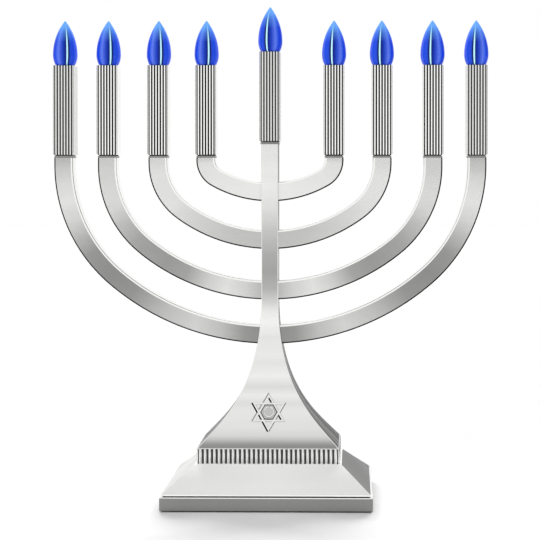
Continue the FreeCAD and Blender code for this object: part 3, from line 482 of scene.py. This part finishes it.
def column_ring(half, z, side, seam=0.06):
    """U-shaped section of one half shell: outer skin, then the inner skin back."""
    deep, outer, inner = half_depth(half), [], []
    wall, radius = COLUMN_WALL, EDGE_RADIUS
    for sx in (1, -1):
        corner = arc_points((0, 0), radius, 0, 90, 3)
        turned = [(sx * (half - radius + x), -(deep - radius + y)) for x, y in corner]
        outer += turned if sx > 0 else list(reversed(turned))
    right_lip = [(half - seam, -seam), (half, -3 * seam)]
    left_lip = [(-half, -3 * seam), (-half + seam, -seam)]
    inner = [(-half + wall, -seam), (-half + wall, -deep + wall), (half - wall, -deep + wall),
             (half - wall, -seam)]
    return [(x * side, y * side, z) for x, y in right_lip + outer + left_lip + inner]


def column_light_and_shade(polygon):
    """Painted reflection on the front and back faces, painted shade on the flanks, painted
    highlight on the corners.
    """
    across, along = abs(polygon.normal.x), abs(polygon.normal.y)
    return 1 if along < 0.05 else 2 if across > 0.1 else 0


def make_column():
    """Front and rear half shells with a fine seam down the sides."""
    sections = [flare_point(k / 60) for k in range(61)] + [(STEM_HALF, COLUMN_TOP - 0.01)]
    to_rear = Matrix.Rotation(-math.pi / 2, 4, "X")
    button_hole = moved(cylinder(BUTTON_RADIUS + 0.1, -8, 8), face_frame(STAR_HEIGHT))
    screw_holes = [moved(cylinder(SCREW_RECESS, *SCREW_HOLE),
                         Matrix.Translation((x, 0, SCREW_HEIGHT)) @ to_rear)
                   for x in (-SCREW_SPREAD, SCREW_SPREAD)]
    holes = {"front": [button_hole], "rear": screw_holes}
    for name, side in (("front", 1), ("rear", -1)):
        rings = [column_ring(half, z, side) for half, z in sections]
        points, faces = loft(rings)
        mesh_piece(f"column_{name}", points, faces, [COLUMN_REFLECTION, FLANK_SHADE_SILVER, HIGHLIGHT_SILVER],
                   stands_for=[f"column_{name}_shell"],
                   face_material=column_light_and_shade, cutters=holes[name])


# ------------------------------------------------------------------ base

DOOR_NOTCH_HALF, DOOR_NOTCH_REACH, DOOR_NOTCH_HEIGHT = 35.1, 6, 3.2
INLET_X, INLET_Z, INLET_HALF_WIDTH, INLET_HALF_HEIGHT = 46, 5.2, 4.2, 1.65
RIM_BEVEL = 0.6
SLOPE_START, SLOPE_INSET = 9.5, 17.7
FRONT_RIBS, SIDE_RIBS, RIB_PITCH = 30, 16, 2.84
RIB_HALF_WIDTH, RIB_DEPTH, RIB_INSET = 0.98, 0.92, 1.05


def shell_light_and_shade(polygon):
    """Painted shade on the parting neck, painted highlight on the lip and ridges, painted light and
    shade on the front and back slopes, painted shade on the right side slope and painted light on
    the left.
    """
    z = polygon.center.z / MM
    across, along = abs(polygon.normal.x), abs(polygon.normal.y)
    if z < SLOPE_START - 0.01:
        return 3
    if z < SLOPE_START + 0.8 or min(across, along) > 0.1:
        return 2
    if across > along:
        return 1 if polygon.normal.x > 0 else 4
    return 0


def make_base():
    make_rim()
    make_shell()
    make_band()


def make_rim():
    """Rim with a door notch and a charging slot at the rear."""
    low, high = box_mm("base_rim")
    rear, top = high.y, high.z
    profile = [(0.25, low.z), (0, low.z + 0.25), (0, top - RIM_BEVEL), (0.1, top - 0.4),
               (0.5, top - 0.1), (1.0, top), (3.0, top), (3.0, low.z)]
    points, faces = rectangle_sweep(high.x, rear, profile)
    notch_profile = [(0, -1), (0, DOOR_NOTCH_HEIGHT), (5, DOOR_NOTCH_HEIGHT), (5, -1)]
    notch = moved(rectangle_sweep(DOOR_NOTCH_HALF, DOOR_NOTCH_REACH, notch_profile, corner=0.3,
                                  closed=False), Matrix.Translation((0, rear, 0)))
    outline = rounded_rectangle(INLET_HALF_WIDTH, INLET_HALF_HEIGHT, 1.6, steps=6)
    slot = loft([[(INLET_X + x, y, INLET_Z + z) for x, z in outline]
                 for y in (rear - 5, rear + 5)])
    bevel = (top - RIM_BEVEL - 0.01) * MM
    # The rim's face takes the painted shade, its top bevel the painted highlight.
    mesh_piece("rim", points, faces, [RIM_SHADE, HIGHLIGHT_SILVER], stands_for=["base_rim"],
               cutters=[notch, slot],
               face_material=lambda polygon: 1 if polygon.center.z > bevel else 0)


def make_shell():
    """Sloping shell with an open crown, above its parting neck, which is darkened with painted
    shade.
    """
    low, high = box_mm("base_shell")
    start, crown = SLOPE_START, BAND_LOW.z
    skin = [(1.2, low.z), (1.2, start), (0, start), (0, start + 0.35), (0.5, start + 0.8),
            (SLOPE_INSET - 0.25, crown - 0.1), (SLOPE_INSET + 0.2, crown), (26, crown),
            (26, crown - 2), (SLOPE_INSET + 1.5, crown - 2), (3.4, start), (3.4, low.z)]
    points, faces = rectangle_sweep(high.x, high.y, skin)
    mesh_piece("shell", points, faces, uvs=[(abs(x) / high.x, z / crown) for x, y, z in points],
               materials=[SLOPE_PAINTED_LIGHT, RIGHT_SLOPE_SHADE, HIGHLIGHT_SILVER, SHADE_LINE, LEFT_SLOPE_LIGHT],
               stands_for=["base_shell"], face_material=shell_light_and_shade)


def make_band():
    """Core between two rails, darkened with painted shade where it shows between the ribs, with a
    row of half-round ribs on each face; rib faces that look sideways take painted shade too.
    """
    half_x, half_y = BAND_HIGH.x, BAND_HIGH.y
    bottom, top = BAND_LOW.z, BAND_HIGH.z
    core = [(1.1, bottom), (1.1, top), (4, top), (4, bottom)]
    rails = [[(0.45, z), (0.45, z + 0.5), (1.4, z + 0.5), (1.4, z)] for z in (bottom, top - 0.5)]
    shapes = [rectangle_sweep(half_x, half_y, profile) for profile in [core] + rails]
    core_faces = len(shapes[0][1])
    rib = rib_shape(RIB_DEPTH, RIB_HALF_WIDTH, bottom + 0.1, top - 0.1)
    for count, along_x, across in ((FRONT_RIBS, True, half_y), (SIDE_RIBS, False, half_x)):
        turn = Matrix.Rotation(0 if along_x else math.pi / 2, 4, "Z")
        for k in range(count):
            offset = (k - (count - 1) / 2) * RIB_PITCH
            for sign in (-1, 1):
                out = sign * (across - RIB_INSET)
                place = (offset, out, 0) if along_x else (out, offset, 0)
                shapes.append(moved(rib, Matrix.Translation(place) @ turn))

    def shading_slot(polygon):
        if polygon.index < core_faces:
            return 1
        return 2 if abs(polygon.normal.x) > 0.8 else 0

    points, faces = join_shapes(shapes)
    mesh_piece("band", points, faces, [RIB_SILVER, BAND_CORE_SHADE, FLANK_SHADE_SILVER],
               stands_for=["fluted_band"], face_material=shading_slot)


def rib_shape(deep, wide, bottom, top):
    """Upright bar of half-round section whose two ends are rounded over."""
    rings = []
    for lift, scale in ((0, 0.35), (0.25, 0.75), (0.7, 1), (-0.7, 1), (-0.25, 0.75), (0, 0.35)):
        z = bottom + lift if len(rings) < 3 else top + lift
        ring = [(wide * math.cos(a) * (0.55 + 0.45 * scale), deep * math.sin(a) * scale, z)
                for a in (2 * math.pi * k / 12 for k in range(12))]
        rings.append(ring)
    return loft(rings)


# ------------------------------------------------------------------ arms

# For each arm: spring height, drop below it, and radius of the upper arc.
ARM_CURVES = {1: (210.3, 19.7, 12.4), 2: (208.8, 47.9, 37.1), 3: (206.6, 77.2, 64.1),
              4: (207.2, 105.3, 91.6)}
ARM_HALF_WIDTH, ARM_HALF_DEPTH = 5.7, 5.0
ARM_ROOT = 3.4


def arm_centreline(number, reach, top):
    """Places on a right arm's centreline with the outward direction there."""
    spring, drop, upper = ARM_CURVES[number]
    lower = (reach ** 2 - 2 * reach * upper + drop ** 2) / (2 * (drop - upper))
    upper_centre = (reach - upper, spring)
    lower_centre = (0, spring - drop + lower)
    meet = math.degrees(math.atan2(spring - lower_centre[1], upper_centre[0]))
    end = -math.degrees(math.acos(ARM_ROOT / lower))
    places = [((reach, top - 0.01), 0.0), ((reach, (top + spring) / 2), 0.0)]
    for centre, radius, first, last, steps in ((upper_centre, upper, 0, meet, 28),
                                               (lower_centre, lower, meet, end, 28)):
        for k, spot in enumerate(arc_points(centre, radius, first, last, steps)):
            if k or centre is upper_centre:
                places.append((spot, math.radians(first + (last - first) * k / steps)))
    return places


def arm_section():
    """Bar section as (outward, depth, shading slot) corners; the slot is of the face that follows.

    Slot 0 is the face with painted reflections, 1 the outer bevel darkened with painted shade and 2
    the inner edge with a painted highlight.
    """
    wide, deep = ARM_HALF_WIDTH, ARM_HALF_DEPTH
    front = [(wide + 0.25, -deep + 0.5, 1), (wide - 0.6, -deep, 0), (-wide + 1.25, -deep, 2),
             (-wide + 0.3, -deep + 0.25, 2), (-wide, -deep + 0.7, 2)]
    rear = [(-wide, deep - 0.7, 2), (-wide + 0.3, deep - 0.25, 2), (-wide + 1.25, deep, 0),
            (wide - 0.6, deep, 1), (wide + 0.25, deep - 0.5, 0)]
    return front + rear


def make_arms():
    """Eight curved bars, each from its sleeve round to the column."""
    section = arm_section()
    for side, sign in SIDES.items():
        for number in ARM_NUMBERS:
            name = f"arm_{side}_{number}"
            sleeve_low, sleeve_high = box_mm(f"sleeve_{side}_{number}")
            reach = abs(sleeve_low.x + sleeve_high.x) / 2
            rings, uvs = [], []
            for row, ((x, z), angle) in enumerate(arm_centreline(number, reach, sleeve_low.z)):
                out_x, out_z = math.cos(angle), math.sin(angle)
                rings.append([(sign * (x + out * out_x), deep, z + out * out_z)
                              for out, deep, _ in section])
                uvs += [(row / 60, k / len(section)) for k in range(len(section))]
            points, faces = loft(rings)
            # Per face: painted reflections on the faces, painted shade on the outer bevel, a
            # painted highlight on the inner edge.
            shading_slot = [part[2] for part in section] * (len(rings) - 1) + [0, 0]
            mesh_piece(f"{name}_bar", points, faces, [ARM_REFLECTIONS[number], SHADE_LINE, HIGHLIGHT_SILVER],
                       stands_for=[name], uvs=uvs, sharp=20,
                       face_material=lambda polygon, table=shading_slot: table[polygon.index])


# ------------------------------------------------------------------ sleeves and lamps

SLEEVE_PITCH, GROOVE_WIDTH, GROOVE_DEPTH, GROOVES = 1.78, 0.98, 0.8, 7
SLEEVE_BORE = 4.6
# Lamps whose sleeves take the shaded copies, as painted shade.
SHADED_SLEEVE_LAMPS = ("left_4", "centre", "right_4")


def sleeve_outline(half, inset=0.0, grooved=True):
    """Square outline with seven grooves in every face, as (x, y) pairs."""
    depth = GROOVE_DEPTH if grooved else 0
    face = [(half - 0.3, half)]
    for groove in range(GROOVES):
        middle = ((GROOVES - 1) / 2 - groove) * SLEEVE_PITCH
        for edge, deep in ((0.5, 0), (0.45, 0.3), (0.4, 1), (-0.4, 1), (-0.45, 0.3), (-0.5, 0)):
            face.append((middle + edge * GROOVE_WIDTH, half - deep * depth))
    face.append((-(half - 0.3), half))
    shrink = (half - inset) / half
    outline = []
    for quarter in range(4):
        turn = Matrix.Rotation(math.pi / 2 * quarter, 2)
        outline += [tuple(turn @ Vector((x * shrink, y * shrink))) for x, y in face]
    return outline


def groove_gets_shade(outline, k, half):
    """Whether the face after corner k gets painted shade: whole grooves in front, floors at the
    sides.
    """
    sideways = k // (len(outline) // 4) % 2 == 1
    limit = half - (0.9 * GROOVE_DEPTH if sideways else 0.01)
    corners = (outline[k], outline[(k + 1) % len(outline)])
    ends = [max(abs(x), abs(y)) < limit for x, y in corners]
    return all(ends) if sideways else any(ends)


def make_sleeves():
    """Reeded square tubes over a small collar, with a neck between; painted shade darkens the neck
    and the grooves, and grey painted shade lies on the collar.
    """
    for lamp in LAMPS:
        low, high = box_mm(f"sleeve_{lamp}")
        middle_x = (low.x + high.x) / 2
        half = (high.x - low.x) / 2
        outline = sleeve_outline(half)
        size = len(outline)
        ribs = [1 if groove_gets_shade(outline, k, half) else 0 for k in range(size)]
        # Collars take grey painted shade, necks the groove's painted shade, lips the sleeve silver.
        collar, neck, lip = [2] * size, [1] * size, [0] * size
        levels = ((low.z, 0.95, False, collar), (low.z + 0.2, 0.7, False, collar),
                  (low.z + 1.2, 0.7, False, collar), (low.z + 1.25, 1.25, False, neck),
                  (low.z + 1.8, 1.25, False, neck), (low.z + 1.85, 0.3, True, ribs),
                  (low.z + 2.2, 0, True, ribs), (high.z - 0.2, 0, True, ribs),
                  (high.z, 0.2, True, lip))
        rings, materials = [], []
        for z, inset, grooved, shading_slot in levels:
            rings.append([(middle_x + x, y, z) for x, y in sleeve_outline(half, inset, grooved)])
            materials += shading_slot
        for z in (high.z, low.z):
            rings.append([(middle_x + x * SLEEVE_BORE / math.hypot(x, y),
                           y * SLEEVE_BORE / math.hypot(x, y), z) for x, y in outline])
            materials += lip
        points, faces = loft(rings, closed_along=True)
        # Shaded sleeves take the painted-shade copies; the others take the lit copy with dark
        # painted shade in their grooves.
        shaded = lamp in SHADED_SLEEVE_LAMPS
        finishes = [SLEEVE_SHADED_SILVER, SHADE_GREY] if shaded else [SLEEVE_LIT_SILVER, SHADE_DARK]
        mesh_piece(f"candle_sleeve_{lamp}", points, faces, finishes + [GREY_SHADE_LINE],
                   stands_for=[f"sleeve_{lamp}"], sharp=25,
                   face_material=lambda polygon, table=materials: table[polygon.index])


TIP_REACH = 1.3
LENS_BASE, LENS_WIDEST, LENS_BELLY = 5.85, 7.6, 6.6


def lens_profile(length):
    """Teardrop: a rounded shoulder below an ogive with a small rounded tip."""
    shoulder = (LENS_BELLY ** 2 + (LENS_WIDEST - LENS_BASE) ** 2) / (2 * (LENS_WIDEST - LENS_BASE))
    ogive = ((length - LENS_BELLY) ** 2 + LENS_WIDEST ** 2) / (2 * LENS_WIDEST)
    foot = -math.degrees(math.asin(LENS_BELLY / shoulder))
    tip = math.degrees(math.asin((length - LENS_BELLY) / ogive)) - 1.2
    outer = [(LENS_BASE - 0.4, 0), (LENS_BASE, 0.25)]
    outer += arc_points((LENS_WIDEST - shoulder, LENS_BELLY), shoulder, foot * 0.93, 0, 10)
    outer += arc_points((LENS_WIDEST - ogive, LENS_BELLY), ogive, 0, tip, 26)[1:]
    outer.append((0, length - 0.12))
    return outer


def make_lamps():
    """Nine lenses, each mapped round from the front so that its painted highlight line shows there.
    """
    for lamp in LAMPS:
        body = f"lamp_{lamp}"
        low, high = box_mm(f"flame_lens_{lamp}")
        middle = Matrix.Translation(((low.x + high.x) / 2, 0, low.z))
        length = high.z - low.z + TIP_REACH
        shape = revolve([(0, 0)] + lens_profile(length), 96)
        side, turn = line_turn(lamp, abs(low.x + high.x) / 2)
        uvs = [(side * (math.atan2(x, -y) - turn) / math.pi + 0.5, z / length)
               for x, y, z in shape[0]]
        points, faces = moved(shape, middle)
        mesh_piece(f"flame_{lamp}", points, faces, [LENS], body=body,
                   stands_for=[f"flame_lens_{lamp}"], sharp=50, uvs=uvs)


def line_turn(lamp, reach):
    """Mirroring and angle of a lens's painted highlight line, turned more on the outer lamps."""
    if lamp.startswith("left"):
        return 1, math.radians(14 + 0.06 * reach)
    return -1, -math.radians(14 if lamp == "centre" else 8 + 0.055 * reach)


# ------------------------------------------------------------------ star and button

STAR_RADIUS, STAR_BAR, STAR_RELIEF = 11.7, 1.2, 0.6
HEXAGON_EDGE, HEXAGON, BUTTON_SEAT = 5.25, 4.7, 3.5


def face_frame(height):
    """Frame on the column's front face: X right, Y up the face, Z outward."""
    step = 0.5
    here, above = flare_at(height), flare_at(height + step)
    lean = math.atan((half_depth(here) - half_depth(above)) / step)
    spot = Matrix.Translation((0, -half_depth(here), height))
    return spot @ Matrix.Rotation(math.pi / 2 - lean, 4, "X")


def on_face(x, y, lift):
    """Point above the column's curved front; x and y are measured from the star's centre."""
    z = STAR_HEIGHT + y * 0.94
    return (x, -half_depth(flare_at(z)) - lift, z)


def make_star():
    """Two triangle frames with painted shadow strips beside their sloping bars, round a hexagon
    with a painted-shade outline and a silver ring.
    """
    parts = [part for turn in (90, -90) for part in star_triangle(turn)]
    parts += [(hexagon_ring(HEXAGON_EDGE, HEXAGON), 1), (hexagon_ring(HEXAGON, BUTTON_SEAT), 3)]
    table = [shading_slot for shape, shading_slot in parts for _ in shape[1]]
    points, faces = join_shapes([shape for shape, shading_slot in parts])
    mesh_piece("star", points, faces, [SILVER, SHADE_DARK, GREY_SHADE_LINE, DISC_SILVER],
               stands_for=["star_emblem"], sharp=20,
               face_material=lambda polygon: table[polygon.index])


def star_triangle(turn):
    """Bars of one triangle, with a strip of dark or grey painted shadow beside each sloping bar."""
    outer = [Vector((STAR_RADIUS * math.cos(math.radians(turn + 120 * k)),
                     STAR_RADIUS * math.sin(math.radians(turn + 120 * k)))) for k in range(3)]
    inner = [p * (1 - 2 * STAR_BAR / STAR_RADIUS) for p in outer]
    parts = []
    for k in range(3):
        a, b, c, d = outer[k], outer[(k + 1) % 3], inner[(k + 1) % 3], inner[k]
        parts.append((star_bar(a, b, c, d, STAR_RELIEF), 0))
        if abs((b - a).y) < 1:
            continue
        falling = (b - a).x * (b - a).y < -1
        across = (d + c - a - b).normalized() * (1.0 if falling else 0.6)
        if falling and across.x < 0 or not falling and across.x > 0 and turn == -90:
            a, b = d, c
        else:
            across = -across
        parts.append((star_bar(a, b, b + across, a + across, 0.1), 1 if falling else 2))
    return parts


def hexagon_ring(outside, inside):
    """Low ring on the column's face; each edge is a hexagon, except for the round button seat."""
    rings = []
    for size, lift in ((outside, 0.12), (inside, 0.12), (inside, -0.4), (outside, -0.4)):
        ring = []
        for degrees in range(0, 360, 10):
            flat = math.cos(math.radians(30)) / math.cos(math.radians(degrees % 60 - 30))
            reach = size * (1 if size == BUTTON_SEAT else flat)
            angle = math.radians(degrees)
            ring.append(on_face(reach * math.cos(angle), reach * math.sin(angle), lift))
        rings.append(ring)
    return loft(rings, closed_along=True)


def star_bar(a, b, c, d, relief, steps=14):
    """Bar between outer edge a-b and inner edge d-c that follows the column's face."""
    rings = []
    for k in range(steps + 1):
        outer, inner = a.lerp(b, k / steps), d.lerp(c, k / steps)
        section = ((outer, -0.5), (outer, relief * 0.7), (outer.lerp(inner, 0.18), relief),
                   (outer.lerp(inner, 0.82), relief), (inner, relief * 0.7), (inner, -0.5))
        rings.append([on_face(place.x, place.y, lift) for place, lift in section])
    return loft(rings)


def make_button():
    """Dished push button with a raised ring."""
    rim, steps = BUTTON_RADIUS, 48
    profile = [(0, -4.2), (rim, -4.2), (rim, 0.6), (rim - 0.15, 0.8), (rim - 0.5, 0.8),
               (rim - 0.65, 0.55), (0, 0.45)]
    ring = range(steps * 2, steps * 5)
    points, faces = moved(revolve(profile, steps), face_frame(STAR_HEIGHT))
    # The raised ring takes the painted highlight.
    mesh_piece("button", points, faces, [DISC_SILVER, HIGHLIGHT_SILVER], body="power_button",
               stands_for=["power_button"], sharp=30,
               face_material=lambda polygon: 1 if polygon.index in ring else 0)


# ------------------------------------------------------------------ carried-over nodes

def finish_cad_nodes():
    """Procedural materials on the CAD nodes that stay as they are."""
    finishes = {"bottom_plate": GREY_PLASTIC, "battery_door": GREY_PLASTIC,
                "battery_tray": GREY_PLASTIC, "battery_contacts": STEEL, "circuit_board": BOARD,
                "switch_board": BOARD, "tact_switch": DARK_PLASTIC, "lamp_sockets": DARK_PLASTIC,
                "wiring_harness": DARK_PLASTIC, "charging_inlet": STEEL, "rubber_feet": RUBBER,
                "base_screws": STEEL, "column_screws": STEEL}
    finishes.update({f"lamp_plug_{lamp}": WHITE_PLASTIC for lamp in LAMPS})
    for node, material in finishes.items():
        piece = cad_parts[node]
        for slot in piece.material_slots:
            slot.material = material


# ------------------------------------------------------------------ stage, light, camera

FLOOR_HALF = 6
FLOOR_LEVEL = 0.56
SUN_POWER, SUN_ANGLE = 4.2, 32
FILL_PLACE, FILL_AIM = Vector((0, -0.35, 0.62)), Vector((0, -0.03, 0.01))
FILL_POWER, FILL_CONE = 12.5, 20
CAMERA_PLACE, CAMERA_TILT, CAMERA_TURN = (0.0520, -0.8097, 0.1910), -0.384, 0.823
CAMERA_LENS, CAMERA_SHIFT = 86.27, (-0.12, -0.13)
RIGHT_DIMMING = (0.4, 0.9, 1.22, 0.36)  # direction from and to, brightness from and to
LEFT_DIMMING = (-1.0, -0.5, 0.75, 1.0)


def make_stage():
    """Plain pale floor; it and all places below are in metres."""
    corners = [(x * FLOOR_HALF, y * FLOOR_HALF, 0) for x, y in ((-1, -1), (1, -1), (1, 1), (-1, 1))]
    floor = bpy.data.meshes.new("floor")
    floor.from_pydata(corners, [], [(0, 1, 2, 3)])
    piece = bpy.data.objects.new("floor", floor)
    bpy.context.scene.collection.objects.link(piece)
    floor.materials.append(plastic_material("floor", (FLOOR_LEVEL,) * 3, 0.8, grain=200, bump=0))


def map_range(tree, source, low, high, start, end):
    """Smooth step of a value from one range to another."""
    node = tree.nodes.new("ShaderNodeMapRange")
    node.interpolation_type = "SMOOTHSTEP"
    for key, value in (("From Min", low), ("From Max", high), ("To Min", start), ("To Max", end)):
        node.inputs[key].default_value = value
    tree.links.new(source, node.inputs["Value"])
    return node.outputs["Result"]


def multiply(tree, first, second):
    """Product of two sockets."""
    node = tree.nodes.new("ShaderNodeMath")
    node.operation = "MULTIPLY"
    tree.links.new(first, node.inputs[0])
    tree.links.new(second, node.inputs[1])
    return node.outputs[0]


def make_room():
    """White backdrop, and for reflections a pale room that is dimmer at the sides."""
    world = bpy.data.worlds.new("studio")
    bpy.context.scene.world = world
    world.use_nodes = True
    tree = world.node_tree
    backdrop = tree.nodes["Background"]
    backdrop.inputs["Color"].default_value = (1, 1, 1, 1)
    room = tree.nodes.new("ShaderNodeBackground")
    direction = tree.nodes.new("ShaderNodeTexCoord")
    parts = tree.nodes.new("ShaderNodeSeparateXYZ")
    tree.links.new(direction.outputs["Generated"], parts.inputs[0])
    across = parts.outputs["X"]
    right = map_range(tree, across, *RIGHT_DIMMING)
    left = map_range(tree, across, *LEFT_DIMMING)
    tree.links.new(multiply(tree, right, left), room.inputs["Strength"])
    path = tree.nodes.new("ShaderNodeLightPath")
    either = tree.nodes.new("ShaderNodeMixShader")
    tree.links.new(path.outputs["Is Camera Ray"], either.inputs[0])
    tree.links.new(room.outputs[0], either.inputs[1])
    tree.links.new(backdrop.outputs[0], either.inputs[2])
    tree.links.new(either.outputs[0], tree.nodes["World Output"].inputs["Surface"])


def add_light(name, kind, power, heading, place=(0, 0, 0)):
    """Light that shines along a heading and isn't mirrored in glossy surfaces."""
    data = bpy.data.lights.new(name, kind)
    data.energy = power
    light = bpy.data.objects.new(name, data)
    light.location = place
    light.visible_glossy = False
    light.rotation_euler = heading.to_track_quat("-Z", "Y").to_euler()
    bpy.context.scene.collection.objects.link(light)
    return data


def make_light():
    """The room, two soft back lights that leave a shadow in front, and a soft fill on the base."""
    make_room()
    for name, aside in (("back_left", -1), ("back_right", 1)):
        sun = add_light(name, "SUN", SUN_POWER, Vector((-0.30 * aside, -0.87, -0.42)))
        sun.angle = math.radians(SUN_ANGLE)
    fill = add_light("base_fill", "SPOT", FILL_POWER, FILL_AIM - FILL_PLACE, FILL_PLACE)
    fill.shadow_soft_size = 0.1
    fill.spot_size, fill.spot_blend = math.radians(FILL_CONE), 0.8


def make_camera():
    """Long lens a little to the right of the middle, shifted to centre the menorah."""
    data = bpy.data.cameras.new("camera")
    data.lens = CAMERA_LENS
    data.shift_x, data.shift_y = CAMERA_SHIFT
    data.clip_start, data.clip_end = 0.01, 50
    camera = bpy.data.objects.new("camera", data)
    camera.location = CAMERA_PLACE
    camera.rotation_euler = (math.radians(90 + CAMERA_TILT), 0, math.radians(CAMERA_TURN))
    bpy.context.scene.collection.objects.link(camera)
    bpy.context.scene.camera = camera


make_column()
make_base()
make_arms()
make_sleeves()
make_lamps()
make_star()
make_button()
finish_cad_nodes()
make_stage()
make_light()
make_camera()
bpy.context.scene.view_settings.view_transform = "Standard"
